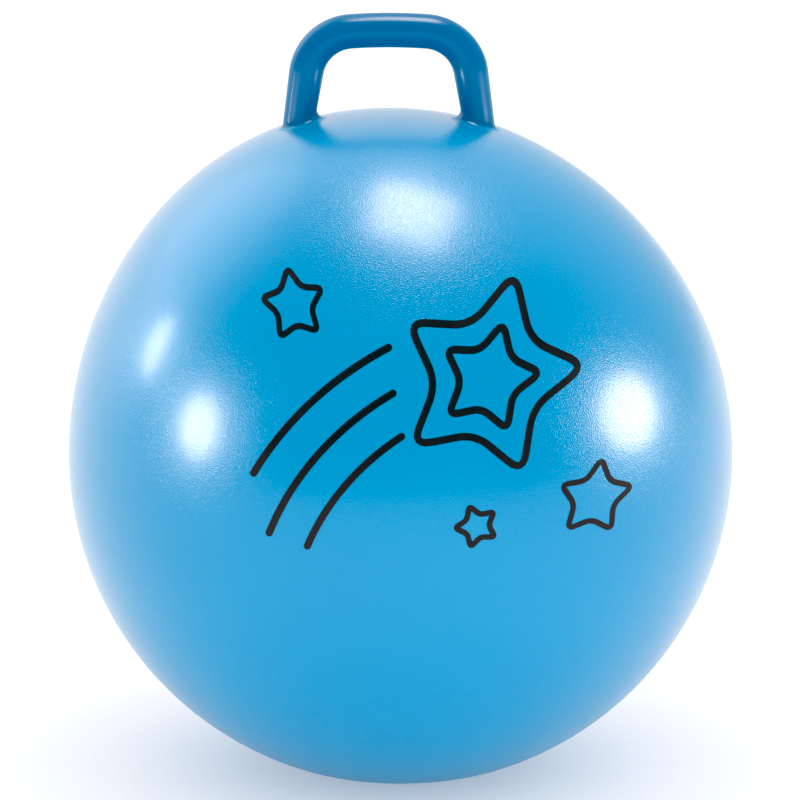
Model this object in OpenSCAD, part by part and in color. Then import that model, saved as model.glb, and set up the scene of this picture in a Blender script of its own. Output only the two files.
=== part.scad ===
// Hopper ball: an inflated, slightly pear-shaped ball to sit and bounce on,
// with a hollow D-shaped handle on its crown and a push-in plug in its valve.
// Millimetres, +Z up. The origin is the middle of the patch the ball rests on.

/* [Ball] */
// Diameter of the ball at its widest
belly_d = 450; // [380:1:560]
// How much smaller the crown's radius is than the belly's
crown_inset = 18; // [10:0.5:24]
// Distance between the centres of the belly and the crown
crown_rise = 30; // [26:0.5:40]
// Sideways lean of the crown and its handle off the belly's middle
crown_shift = 8; // [0:0.5:10]
// How much larger the radius of the flatter cap under the handle is than the crown's
cap_bulge = 24; // [12:1:40]
// How much larger the radius of the arc between belly and crown is than the belly's
shoulder_bulge = 30; // [20:1:60]
// Radius of the flat patch that the ball rests on
patch_r = 36; // [20:1:60]
// How much smaller the radius of the sag around that patch is than the belly's
sag_inset = 85; // [70:1:120]
// Thickness of the blown skin
skin_t = 1.3; // [0.8:0.1:4]

/* [Handle] */
// Outer diameter of the handle's tube at the grip
tube_d = 23.2; // [18:0.2:30]
// Outer diameter of each leg just above the ball
foot_d = 21.2; // [16:0.2:28]
// Diameter of the air channel through the handle
channel_d = 12; // [6:0.5:14]
// Height of the grip's centre line above the top of the ball
grip_rise = 55; // [44:0.2:80]
// Length of the grip between its corners
grip_w = 51; // [30:1:90]
// Radius of the grip's slight upward bow
grip_bow_r = 360; // [200:10:900]
// Radius of the corners' centre line
corner_r = 32; // [20:1:38]
// Outward lean of each leg, in degrees
leg_splay = 8.5; // [0:0.5:14]
// Radius of the fillet where each leg meets the ball
foot_fillet_r = 5.5; // [4:0.5:14]

/* [Valve] */
// How far the valve lies below the widest line, in degrees
valve_drop = 35; // [10:1:50]
// Diameter of the hole in the skin
valve_hole_d = 24; // [22:0.5:34]
// Diameter of the flange bonded under the skin
flange_d = 36; // [30:1:60]
// Thickness of that flange
flange_t = 2; // [1:0.1:4]
// Outer diameter of the barrel
barrel_d = 15; // [12:0.5:20]
// Length of the valve seat from the outer face inwards
seat_l = 18; // [10:1:30]
// Diameter of the bore
bore_d = 9; // [6:0.5:10]
// Depth of the recess that takes the plug's head
recess_depth = 1.8; // [1:0.1:2.4]

/* [Plug] */
// Diameter of the plug's head
head_d = 17; // [13:0.5:19]
// Thickness of the head at its middle
head_t = 2.6; // [1.5:0.1:4]
// Radius of the dome on the head
head_dome_r = 40; // [20:1:80]
// Diameter of the stem between its ribs
stem_d = 7.4; // [4:0.1:8]
// Length of the stem
stem_l = 20; // [10:1:30]
// Length of the stem's tapered tip
tip_l = 4; // [2:0.5:6]
// Diameter of the tip's end
tip_d = 4.6; // [2:0.1:6]
// Number of sealing ribs
ribs = 3; // [1:1:4]
// Length of one rib along the stem
rib_l = 2.4; // [1:0.1:3]
// Distance from one rib to the next
rib_pitch = 4; // [3:0.1:6]

/* [Fits] */
// Glue gap between the valve seat and the skin
bond_gap = 0.1; // [0.05:0.05:0.3]
// Gap at the weld between the handle's feet and the skin
weld_gap = 0.03; // [0.02:0.01:0.1]
// Radial clearance of the plug's ribs in the bore
rib_gap = 0.1; // [0.05:0.05:0.3]
// Clearance round and under the plug's head
head_gap = 0.3; // [0.1:0.1:0.6]

/* [Hidden] */
$fn = 96;

// Colours of the mouldings
skin_blue = [0.02, 0.53, 0.81];
handle_blue = [0.01, 0.38, 0.61];
plug_white = [0.93, 0.93, 0.91];

// Every cut runs this far past the face it leaves by
overrun = 2;
// Large enough to span the whole ball
reach = 2 * belly_d;
// Where the upper and lower revolves join, as a share of the belly's radius below its middle
join_share = 0.5;
// How far the flatter cap reaches past the handle's feet
cap_margin = 4;

belly_r = belly_d / 2;
crown_r = belly_r - crown_inset;
cap_r = crown_r + cap_bulge;
shoulder_r = belly_r + shoulder_bulge;
sag_r = belly_r - sag_inset;

// The middle of the belly stands this high over the floor
sag_drop = sqrt(sag_inset * sag_inset - patch_r * patch_r);
belly_h = sag_r + sag_drop;

// Arc centres in the outline's plane, seen from the belly's middle
belly_c = [0, 0];
crown_c = [0, crown_rise];
sag_c = [patch_r, -sag_drop];
shoulder_reach = shoulder_bulge + crown_inset;
shoulder_y = (shoulder_bulge * shoulder_bulge - shoulder_reach * shoulder_reach + crown_rise * crown_rise)
    / (2 * crown_rise);
shoulder_c = [-sqrt(shoulder_bulge * shoulder_bulge - shoulder_y * shoulder_y), shoulder_y];

// The line from one centre through the next, drawn on past the skin
function past(a, b) = b + (b - a) * ceil(reach / norm(b - a));
to_shoulder = past(shoulder_c, belly_c);
to_crown = past(shoulder_c, crown_c);
to_sag = past(belly_c, sag_c);

// The crown's middle lies up and to the left of the belly's
crown_lean = asin(crown_shift / crown_rise);
crown_lift = sqrt(crown_rise * crown_rise - crown_shift * crown_shift);

// Handle, in the plane of its loop, seen from the cap's middle
tube_r = tube_d / 2;
foot_r = foot_d / 2;
channel_r = channel_d / 2;
grip_z = cap_r + grip_rise;
bow_angle = asin(grip_w / 2 / grip_bow_r);
leg_turn = 90 - leg_splay;
bow_c = [0, 0, grip_z - grip_bow_r];
corner_c = bow_c + (grip_bow_r - corner_r) * out(bow_angle);
leg_top = corner_c + corner_r * out(leg_turn);
leg_way = [sin(leg_splay), 0, -cos(leg_splay)];
weld_r = cap_r + weld_gap;
foot_at = meets(0, 0, weld_r);

// The cap takes in both feet, and its middle lies straight below the crown's
cap_reach = foot_at[0] + foot_r + foot_fillet_r + cap_margin;
cap_drop = sqrt(cap_r * cap_r - cap_reach * cap_reach) - sqrt(crown_r * crown_r - cap_reach * cap_reach);
cap_at = [-crown_shift, 0, crown_lift - cap_drop];

// Rounds of the handle: points on each, and steps along each stretch
ring_sides = 32;
grip_steps = 3;
corner_steps = 8;
fillet_steps = 6;
seat_steps = 3;
channel_steps = 6;

// Way out of the loop where its centre line has turned by so many degrees from the top
function out(turn) = [sin(turn), 0, cos(turn)];
// Way out of the centre line at an angle round the tube
function spoke(turn, angle) = cos(angle) * out(turn) + [0, sin(angle), 0];
function angles() = [for (j = [0 : ring_sides - 1]) 360 * j / ring_sides];
// A round of radius r about a point of the centre line
function ring(at, turn, r) = [for (angle = angles()) at + r * spoke(turn, angle)];
// Rounds along an arc of the centre line, from one turn to another, without the first
function arc_rings(c, arc_r, from, to, steps, r) =
    [for (i = [1 : steps]) let (turn = from + (to - from) * i / steps) ring(c + arc_r * out(turn), turn, r)];
// Where a line along the right leg, r out from its axis, meets a sphere about the cap's middle
function meets(angle, r, sphere_r) =
    let (p = leg_top + r * spoke(leg_turn, angle), along = p * leg_way)
    p - (along + sqrt(along * along - p * p + sphere_r * sphere_r)) * leg_way;
// Part of the way from one direction to another, by equal angles
function swing(a, b, share) =
    let (w = acos(a * b)) (sin((1 - share) * w) * a + sin(share * w) * b) / sin(w);
// A ball rolled round the leg's foot touches both the leg and the skin: the round that it leaves,
// from its touch on the leg at share 0 to its touch on the skin at share 1
function fillet_ring(share) = [for (angle = angles())
    let (c = meets(angle, foot_r + foot_fillet_r, weld_r + foot_fillet_r))
    c + foot_fillet_r * swing(-spoke(leg_turn, angle), -c / norm(c), share)];
// Mouth of the air channel on the skin
function mouth_ring() = [for (angle = angles()) meets(angle, channel_r, weld_r)];
// Rounds of the foot's seat on the skin, between the fillet's rim and the mouth
function seat_rings() = let (rim = fillet_ring(1), mouth = mouth_ring())
    [for (i = [1 : seat_steps - 1]) [for (j = [0 : ring_sides - 1])
        let (p = rim[j] + (mouth[j] - rim[j]) * i / seat_steps) weld_r * p / norm(p)]];

// The right-hand rounds on the left, and a run of rounds the other way about
function mirrored(rings) = [for (r = rings) [for (p = r) [-p[0], p[1], p[2]]]];
function backwards(rings) = [for (i = [len(rings) - 1 : -1 : 0]) rings[i]];

rib_d = bore_d - 2 * rib_gap;
head_bottom = head_gap - recess_depth;
head_top = head_bottom + head_t;

// Half outline of the upper ball, drawn in by inset: belly, shoulder and crown arcs
module pear_outline(inset) {
    intersection() {
        circle(r = belly_r - inset);
        polygon([belly_c, to_shoulder, [reach, -reach], [0, -reach]]);
    }
    intersection() {
        translate(shoulder_c) circle(r = shoulder_r - inset);
        polygon([belly_c, to_shoulder, to_crown, crown_c]);
    }
    intersection() {
        translate(crown_c) circle(r = crown_r - inset);
        polygon([crown_c, to_crown, [0, reach]]);
    }
}

// Half outline of the lower ball, drawn in by inset: belly arc, sag arc and flat patch
module base_outline(inset) {
    intersection() {
        circle(r = belly_r - inset);
        polygon([belly_c, [reach, 0], to_sag]);
    }
    intersection() {
        translate(sag_c) circle(r = sag_r - inset);
        polygon([sag_c, to_sag, [patch_r, -reach]]);
    }
    polygon([belly_c, sag_c, [patch_r, inset - belly_h], [0, inset - belly_h]]);
}

// What the flatter cap takes off the crown of a ball drawn in by inset
module cap_shaving(inset) {
    translate(cap_at) difference() {
        cylinder(r = cap_reach + overrun, h = reach);
        sphere(r = cap_r - inset);
    }
}

// The whole ball as a solid, drawn in by inset
module ball_body(inset) {
    join_z = -join_share * belly_r;
    translate([0, 0, belly_h]) {
        intersection() {
            difference() {
                rotate([0, -crown_lean, 0]) rotate_extrude() pear_outline(inset);
                cap_shaving(inset);
            }
            translate([-reach, -reach, join_z]) cube(2 * reach);
        }
        intersection() {
            rotate_extrude() base_outline(inset);
            translate([-reach, -reach, join_z - 2 * reach]) cube(2 * reach);
        }
    }
}

// Places a child at the cap's middle
module at_cap() {
    translate([0, 0, belly_h]) translate(cap_at) children();
}

// Places a child on the outer skin at the valve, +Z outwards
module at_valve() {
    translate([0, 0, belly_h]) rotate([-90 - valve_drop, 0, 0]) translate([0, 0, belly_r]) children();
}

// Repeats a right-hand child on the left of the handle
module both_sides() {
    children();
    mirror([1, 0, 0]) children();
}

// Places a child where the right leg's axis meets the skin, +Z up the leg
module at_foot() {
    translate(foot_at) rotate([0, -leg_splay, 0]) children();
}

// A closed tube: rings joined each to the next, and the last to the first
module ring_solid(rings) {
    count = len(rings);
    faces = [for (i = [0 : count - 1], j = [0 : ring_sides - 1])
        let (
            a = i * ring_sides + j,
            b = i * ring_sides + (j + 1) % ring_sides,
            c = (i + 1) % count * ring_sides + (j + 1) % ring_sides,
            d = (i + 1) % count * ring_sides + j
        )
        each [[a, b, c], [a, c, d]]];
    polyhedron([for (r = rings) each r], faces);
}

// Down the outside of the right leg, in over its seat, back up the air channel, and the same on the left
module handle_loop() {
    top = bow_c + grip_bow_r * out(0);
    outside = concat(
        arc_rings(bow_c, grip_bow_r, 0, bow_angle, grip_steps, tube_r),
        arc_rings(corner_c, corner_r, bow_angle, leg_turn, corner_steps, tube_r),
        [for (i = [0 : fillet_steps]) fillet_ring(i / fillet_steps)]
    );
    channel = concat(
        arc_rings(bow_c, grip_bow_r, 0, bow_angle, 1, channel_r),
        arc_rings(corner_c, corner_r, bow_angle, leg_turn, channel_steps, channel_r),
        [mouth_ring()]
    );
    right = concat(outside, seat_rings(), backwards(channel));
    ring_solid(concat(
        [ring(top, 0, tube_r)], right,
        [ring(top, 0, channel_r)], backwards(mirrored(right))
    ));
}

module ball_skin() {
    color(skin_blue)
    difference() {
        ball_body(0);
        ball_body(skin_t);
        at_valve() cylinder(d = valve_hole_d, h = 2 * valve_hole_d, center = true);
        at_cap() both_sides() at_foot() cylinder(d = channel_d, h = 2 * channel_d, center = true);
    }
}

module handle() {
    color(handle_blue) at_cap() handle_loop();
}

module valve_seat() {
    under_r = belly_r - skin_t - bond_gap;
    color(skin_blue)
    at_valve() difference() {
        union() {
            intersection() {
                translate([0, 0, -seat_l]) cylinder(d = valve_hole_d - 2 * bond_gap, h = 2 * seat_l);
                translate([0, 0, -belly_r]) difference() {
                    sphere(r = belly_r);
                    sphere(r = under_r - flange_t);
                }
            }
            intersection() {
                translate([0, 0, -seat_l]) cylinder(d = flange_d, h = 2 * seat_l);
                translate([0, 0, -belly_r]) difference() {
                    sphere(r = under_r);
                    sphere(r = under_r - flange_t);
                }
            }
            translate([0, 0, -seat_l]) cylinder(d = barrel_d, h = seat_l - skin_t - bond_gap - flange_t / 2);
        }
        translate([0, 0, -seat_l - overrun]) cylinder(d = bore_d, h = seat_l + 2 * overrun);
        translate([0, 0, -recess_depth]) cylinder(d = head_d + 2 * head_gap, h = recess_depth + overrun);
    }
}

module valve_plug() {
    stem_r = stem_d / 2;
    tip_z = head_bottom - stem_l;
    color(plug_white)
    at_valve() intersection() {
        rotate_extrude() polygon(concat(
            [[0, tip_z], [tip_d / 2, tip_z], [stem_r, tip_z + tip_l]],
            [for (i = [ribs : -1 : 1])
                let (rib_z = head_bottom - rib_pitch * i)
                each [[stem_r, rib_z], [rib_d / 2, rib_z + rib_l], [stem_r, rib_z + rib_l]]],
            [[stem_r, head_bottom], [head_d / 2, head_bottom], [head_d / 2, head_top], [0, head_top]]
        ));
        translate([0, 0, head_top - head_dome_r]) sphere(r = head_dome_r);
    }
}

ball_skin();
handle();
valve_seat();
valve_plug();
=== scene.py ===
"""Looks of a hopper ball: a blown vinyl ball with a D-shaped handle, a valve and a line print.

Metres, +Z up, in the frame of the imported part. The camera stands on the -Y side.
"""

import logging
import math
from dataclasses import dataclass, field
from enum import Enum
from typing import Callable, ClassVar, Iterator

import bmesh
import bpy
from mathutils import Matrix, Vector


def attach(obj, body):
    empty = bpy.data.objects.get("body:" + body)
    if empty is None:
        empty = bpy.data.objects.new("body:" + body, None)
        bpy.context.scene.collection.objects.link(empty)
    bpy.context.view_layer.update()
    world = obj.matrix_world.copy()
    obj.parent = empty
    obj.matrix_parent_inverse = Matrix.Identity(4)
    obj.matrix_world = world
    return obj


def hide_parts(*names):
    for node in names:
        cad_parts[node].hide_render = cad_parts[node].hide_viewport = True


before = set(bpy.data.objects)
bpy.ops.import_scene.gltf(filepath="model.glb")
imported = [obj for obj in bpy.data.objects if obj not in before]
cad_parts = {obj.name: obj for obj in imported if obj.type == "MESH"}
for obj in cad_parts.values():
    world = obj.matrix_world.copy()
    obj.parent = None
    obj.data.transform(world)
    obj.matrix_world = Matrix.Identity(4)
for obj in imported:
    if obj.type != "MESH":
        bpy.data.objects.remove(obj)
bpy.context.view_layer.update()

LOG = logging.getLogger("hopper_ball")
MM = 0.001
FULL_TURN = 2 * math.pi
QUARTER_TURN = math.pi / 2
X_AXIS = Vector((1, 0, 0))
Y_AXIS = Vector((0, 1, 0))
Z_AXIS = Vector((0, 0, 1))
WELD = 1e-6

Colour = tuple[float, float, float]  # linear red, green and blue
Span = tuple[float, float]  # start and end of a range
Spot = tuple[float, float]  # place on the print's flat film, to the right and up
Station = tuple[float, float]  # radius and height on the lathe
Rung = tuple[Vector, Vector]  # left and right edge of a print stroke
Source = bpy.types.NodeSocket | float | Colour  # what a node's input takes

WHITE: Colour = (1, 1, 1)


class Body(Enum):
    """The bodies that pieces ride on."""

    BALL = "ball"
    PLUG = "plug"


class CadNode(Enum):
    """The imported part's nodes that pieces stand for."""

    SKIN = "ball_skin"
    HANDLE = "handle"
    SEAT = "valve_seat"
    PLUG = "valve_plug"


class Slot(Enum):
    """The record's finishes."""

    SKIN = "skin_vinyl"
    HANDLE = "handle_vinyl"
    SEAT = "seat_vinyl"
    PLUG = "plug_plastic"


class Pen(Enum):
    """The widths of the print's lines."""

    BOLD = 4.6 * MM
    FINE = 3.6 * MM


class Wrap(Enum):
    """Whether a print stroke has two round ends or runs back into itself."""

    OPEN = "open"
    CLOSED = "closed"


class Outline(Enum):
    """The shapes of a soft light's face."""

    RECTANGLE = "RECTANGLE"
    ELLIPSE = "ELLIPSE"


# Bench work shared by the pieces


def clear_selection() -> None:
    """Leaves edit mode and deselects every object."""
    if bpy.context.object and bpy.context.object.mode != "OBJECT":
        bpy.ops.object.mode_set(mode="OBJECT")
    bpy.ops.object.select_all(action="DESELECT")


def pick(piece: bpy.types.Object) -> None:
    """Makes one object the only selected and active one.

    Args:
        piece: The object to work on.
    """
    clear_selection()
    piece.select_set(True)
    bpy.context.view_layer.objects.active = piece


def edit_all() -> None:
    """Enters edit mode on the active object with all of it selected."""
    bpy.ops.object.mode_set(mode="EDIT")
    bpy.ops.mesh.select_mode(type="VERT")
    bpy.ops.mesh.select_all(action="SELECT")


def edit_rims(piece: bpy.types.Object) -> None:
    """Enters edit mode on a piece with only its open rims selected.

    Args:
        piece: The object to work on.
    """
    pick(piece)
    edit_all()
    bpy.ops.mesh.select_all(action="DESELECT")
    bpy.ops.mesh.select_non_manifold()


def start_outline(at: Vector) -> bpy.types.Object:
    """Starts an outline as one selected vertex, in edit mode.

    Args:
        at: Place of the vertex.

    Returns:
        The new object.
    """
    clear_selection()
    bpy.ops.mesh.primitive_plane_add()
    edit_all()
    bpy.ops.mesh.merge(type="CENTER")
    bpy.ops.transform.translate(value=at)
    return bpy.context.object


def start_ring(sides: int, r: float, at: Vector, tilt: float = 0.0) -> bpy.types.Object:
    """Starts a tube as one selected ring, in edit mode.

    Args:
        sides: Vertices of the ring.
        r: Its radius.
        at: Place of its middle.
        tilt: Turn of its axis from +Z towards +X, in radians.

    Returns:
        The new object.
    """
    clear_selection()
    bpy.ops.mesh.primitive_circle_add(vertices=sides, radius=r, location=at, rotation=(0, tilt, 0))
    bpy.ops.object.transform_apply(location=True, rotation=True, scale=True)
    edit_all()
    return bpy.context.object


def spin(steps: int, angle: float, centre: Vector, axis: Vector) -> None:
    """Sweeps the selection round an axis by the right-hand rule and leaves the last step selected.

    Args:
        steps: Number of copies along the sweep.
        angle: Sweep in radians.
        centre: A point of the axis.
        axis: Direction of the axis.
    """
    bpy.ops.mesh.spin(steps=steps, angle=-angle, center=centre, axis=axis)


def apply_modifier(piece: bpy.types.Object, kind: str, **settings: object) -> None:
    """Adds a modifier to a piece and applies it.

    Args:
        piece: The object that gets it.
        kind: Blender's type of the modifier.
        **settings: Its settings.
    """
    pick(piece)
    modifier = piece.modifiers.new(kind.lower(), kind)
    for setting, value in settings.items():
        setattr(modifier, setting, value)
    bpy.ops.object.modifier_apply(modifier=modifier.name)


def close_seams(piece: bpy.types.Object) -> None:
    """Merges doubled vertices and turns the faces of a closed shape outwards.

    Args:
        piece: The object to mend.
    """
    pick(piece)
    edit_all()
    bpy.ops.mesh.remove_doubles(threshold=WELD)
    bpy.ops.mesh.normals_make_consistent(inside=False)
    bpy.ops.object.mode_set(mode="OBJECT")


def join(pieces: list[bpy.types.Object]) -> bpy.types.Object:
    """Joins several objects into the first of them.

    Args:
        pieces: The objects.

    Returns:
        The joined object.
    """
    pick(pieces[0])
    for piece in pieces:
        piece.select_set(True)
    bpy.ops.object.join()
    return bpy.context.object


def wear(piece: bpy.types.Object, material: bpy.types.Material) -> None:
    """Gives a piece one material all over.

    Args:
        piece: The object.
        material: Its finish.
    """
    piece.data.materials.clear()
    piece.data.materials.append(material)


# Finishes


class Recipe:
    """A node tree under construction."""

    def __init__(self, tree: bpy.types.NodeTree) -> None:
        """Takes a tree to add to."""
        self.tree = tree

    def add(self, kind: str, **settings: object) -> bpy.types.Node:
        """Adds a node.

        Args:
            kind: The node's type, without its ShaderNode prefix.
            **settings: The node's own properties.

        Returns:
            The node.
        """
        prefix = "" if kind.startswith("Node") else "ShaderNode"
        node = self.tree.nodes.new(prefix + kind)
        for setting, value in settings.items():
            setattr(node, setting, value)
        return node

    def place(self) -> bpy.types.NodeSocket:
        """Adds the socket that gives a point's place on its object."""
        return self.add("TexCoord").outputs["Object"]

    def link(self, source: bpy.types.NodeSocket, target: bpy.types.NodeSocket) -> None:
        """Joins an output to an input."""
        self.tree.links.new(source, target)

    def feed(self, target: bpy.types.NodeSocket, value: Source) -> None:
        """Joins an output to an input, or sets the input to a plain value.

        Args:
            target: The input.
            value: An output, a number or a colour.
        """
        if isinstance(value, bpy.types.NodeSocket):
            self.link(value, target)
        else:
            target.default_value = (*value, 1) if isinstance(value, tuple) else value

    def math(self, operation: str, first: Source, second: Source) -> bpy.types.NodeSocket:
        """Adds a Math node.

        Args:
            operation: What it does.
            first: Its first value or the socket that gives it.
            second: Its second value or the socket that gives it.

        Returns:
            The result's socket.
        """
        node = self.add("Math", operation=operation)
        for socket, value in zip(node.inputs, (first, second)):
            self.feed(socket, value)
        return node.outputs[0]

    def ramp(self, value: bpy.types.NodeSocket, low: float, high: float, to_low: float,
             to_high: float) -> bpy.types.NodeSocket:
        """Maps a varying value smoothly from one range to another.

        Args:
            value: The socket that gives the value.
            low: Start of the range it is read in.
            high: End of that range.
            to_low: Result at the start.
            to_high: Result at the end.

        Returns:
            The result's socket.
        """
        node = self.add("MapRange", interpolation_type="SMOOTHSTEP")
        self.link(value, node.inputs["Value"])
        limits = {"From Min": low, "From Max": high, "To Min": to_low, "To Max": to_high}
        for socket, limit in limits.items():
            node.inputs[socket].default_value = limit
        return node.outputs["Result"]

    def blend(self, share: bpy.types.NodeSocket, first: Source, second: Source) -> bpy.types.NodeSocket:
        """Mixes two colours by a varying share.

        Args:
            share: The socket that gives the second colour's share.
            first: The first colour or the socket that gives it.
            second: The second colour or the socket that gives it.

        Returns:
            The mixed colour's socket.
        """
        node = self.add("Mix", data_type="RGBA")
        self.link(share, node.inputs["Factor"])
        colour_inputs = [socket for socket in node.inputs if socket.type == "RGBA"]
        for socket, value in zip(colour_inputs, (first, second)):
            self.feed(socket, value)
        return next(socket for socket in node.outputs if socket.type == "RGBA")


@dataclass(frozen=True)
class Noise:
    """One noise of the shared surface: the sockets for its size and its result, and its fineness."""

    size: str
    result: str
    detail: float


class MouldedGrain:
    """The surface that all the mouldings share: a fine stipple, and a slow drift of pigment and gloss."""

    NAME = "moulded_grain"
    NOISES = (Noise("Grain Size", "Height", detail=0.5), Noise("Drift Size", "Drift", detail=3.0))
    DRIFT_RANGE = (0.3, 0.7)

    @classmethod
    def group(cls) -> bpy.types.NodeTree:
        """Builds the node group once.

        Returns:
            The group, with the inputs Grain Size and Drift Size and the outputs Height and Drift.
        """
        if cls.NAME in bpy.data.node_groups:
            return bpy.data.node_groups[cls.NAME]
        tree = bpy.data.node_groups.new(cls.NAME, "ShaderNodeTree")
        for noise in cls.NOISES:
            for name, way in ((noise.size, "INPUT"), (noise.result, "OUTPUT")):
                tree.interface.new_socket(name, in_out=way, socket_type="NodeSocketFloat")
        recipe = Recipe(tree)
        sizes = recipe.add("NodeGroupInput")
        results = recipe.add("NodeGroupOutput")
        place = recipe.place()
        for noise in cls.NOISES:
            texture = recipe.add("TexNoise")
            texture.inputs["Detail"].default_value = noise.detail
            recipe.link(place, texture.inputs["Vector"])
            recipe.link(recipe.math("DIVIDE", 1, sizes.outputs[noise.size]), texture.inputs["Scale"])
            recipe.link(texture.outputs["Fac"], results.inputs[noise.result])
        return tree


@dataclass(frozen=True)
class Moulding:
    """A moulded plastic: its pigment, its gloss and its grain.

    Attributes:
        name: Name of the material.
        pale: Pigment where it drifts palest.
        deep: Pigment where it drifts deepest.
        gloss: Roughness where the pigment is deepest and where it is palest.
        grain_size: Width of the stipple's bumps.
        grain_depth: Height of the stipple's bumps.
        drift_size: Width of the drift's patches.
        ior: Refractive index.
        coat: Share of a clear coat.
        coat_roughness: Roughness of the clear coat.
    """

    name: str
    pale: Colour
    deep: Colour
    gloss: Span
    grain_size: float
    grain_depth: float
    drift_size: float
    ior: float = 1.5
    coat: float = 0.0
    coat_roughness: float = 0.2

    def material(self) -> bpy.types.Material:
        """Builds the material.

        Returns:
            The finished material.
        """
        material = bpy.data.materials.new(self.name)
        material.use_nodes = True
        material.node_tree.nodes.clear()
        recipe = Recipe(material.node_tree)
        shader = recipe.add("BsdfPrincipled")
        recipe.link(shader.outputs["BSDF"], recipe.add("OutputMaterial").inputs["Surface"])
        shader.inputs["IOR"].default_value = self.ior
        shader.inputs["Coat Weight"].default_value = self.coat
        shader.inputs["Coat Roughness"].default_value = self.coat_roughness
        grain = recipe.add("Group", node_tree=MouldedGrain.group())
        grain.inputs["Grain Size"].default_value = self.grain_size
        grain.inputs["Drift Size"].default_value = self.drift_size
        drift = grain.outputs["Drift"]
        recipe.link(recipe.ramp(drift, *MouldedGrain.DRIFT_RANGE, *self.gloss), shader.inputs["Roughness"])
        pale_share = recipe.ramp(drift, *MouldedGrain.DRIFT_RANGE, 0, 1)
        pigment = recipe.blend(pale_share, self.deep, self.pale)
        recipe.link(self.colour(recipe, pigment), shader.inputs["Base Color"])
        bump = recipe.add("Bump")
        bump.inputs["Distance"].default_value = self.grain_depth
        recipe.link(self.height(recipe, grain.outputs["Height"]), bump.inputs["Height"])
        recipe.link(bump.outputs["Normal"], shader.inputs["Normal"])
        return material

    def colour(self, recipe: Recipe, pigment: bpy.types.NodeSocket) -> bpy.types.NodeSocket:
        """Gives the surface's colour: the pigment as it is."""
        return pigment

    def height(self, recipe: Recipe, grain: bpy.types.NodeSocket) -> bpy.types.NodeSocket:
        """Gives the surface's height: the grain as it is."""
        return grain


@dataclass(frozen=True, kw_only=True)
class SeamedMoulding(Moulding):
    """A moulding with a fine groove where the mould's halves part, in the plane of the handle.

    Attributes:
        seam_w: Half the width of the groove.
    """

    seam_w: float

    def height(self, recipe: Recipe, grain: bpy.types.NodeSocket) -> bpy.types.NodeSocket:
        """Lets the groove into the grain.

        Args:
            recipe: The material's recipe.
            grain: The socket that gives the grain's height.

        Returns:
            The socket that gives the height with the groove.
        """
        place = recipe.add("SeparateXYZ")
        recipe.link(recipe.place(), place.inputs[0])
        aside = recipe.math("ABSOLUTE", place.outputs["Y"], 0)
        return recipe.math("SUBTRACT", grain, recipe.ramp(aside, 0, self.seam_w, 1, 0))


@dataclass(frozen=True, kw_only=True)
class FadingMoulding(Moulding):
    """A moulding whose pigment thins into its neighbour's over a short height above a round seat.

    Attributes:
        seat_middle: Middle of the sphere that it stands on.
        seat_r: Radius of that sphere.
        fade: Heights over the seat where the neighbour's pigment ends and its own is full.
        seat_pigment: The neighbour's pigment.
    """

    seat_middle: Vector
    seat_r: float
    fade: Span
    seat_pigment: Colour

    def colour(self, recipe: Recipe, pigment: bpy.types.NodeSocket) -> bpy.types.NodeSocket:
        """Fades the pigment out towards the seat.

        Args:
            recipe: The material's recipe.
            pigment: The socket that gives the pigment's colour.

        Returns:
            The socket that gives the faded colour.
        """
        distance = recipe.add("VectorMath", operation="DISTANCE")
        recipe.link(recipe.place(), distance.inputs[0])
        distance.inputs[1].default_value = self.seat_middle
        low, high = (self.seat_r + height for height in self.fade)
        share = recipe.ramp(distance.outputs["Value"], low, high, 0, 1)
        return recipe.blend(share, self.seat_pigment, pigment)


# What the pieces share


@dataclass(kw_only=True)
class Part:
    """A piece of the ball: its finish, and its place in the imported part."""

    NAME: ClassVar[str]
    SLOT: ClassVar[Slot]
    BODY: ClassVar[Body] = Body.BALL
    STANDS_FOR: ClassVar[CadNode | None] = None

    finish: Moulding
    sharp: float
    piece: bpy.types.Object = field(init=False)

    def build(self) -> None:
        """Models the piece."""
        raise NotImplementedError

    def complete(self, shape: bpy.types.Object) -> None:
        """Makes a modelled shape the piece: origin at the frame's, and smooth up to the sharp angle.

        Args:
            shape: The object.
        """
        pick(shape)
        bpy.ops.object.transform_apply(location=True, rotation=True, scale=True)
        bpy.ops.object.shade_smooth_by_angle(angle=self.sharp)
        shape.name = self.NAME
        shape.data.name = self.NAME
        self.piece = shape

    def dress(self) -> None:
        """Gives the piece its finish and its place in the frame."""
        wear(self.piece, self.finish.material())
        if self.STANDS_FOR:
            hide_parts(self.STANDS_FOR.value)
        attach(self.piece, self.BODY.value)


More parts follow.
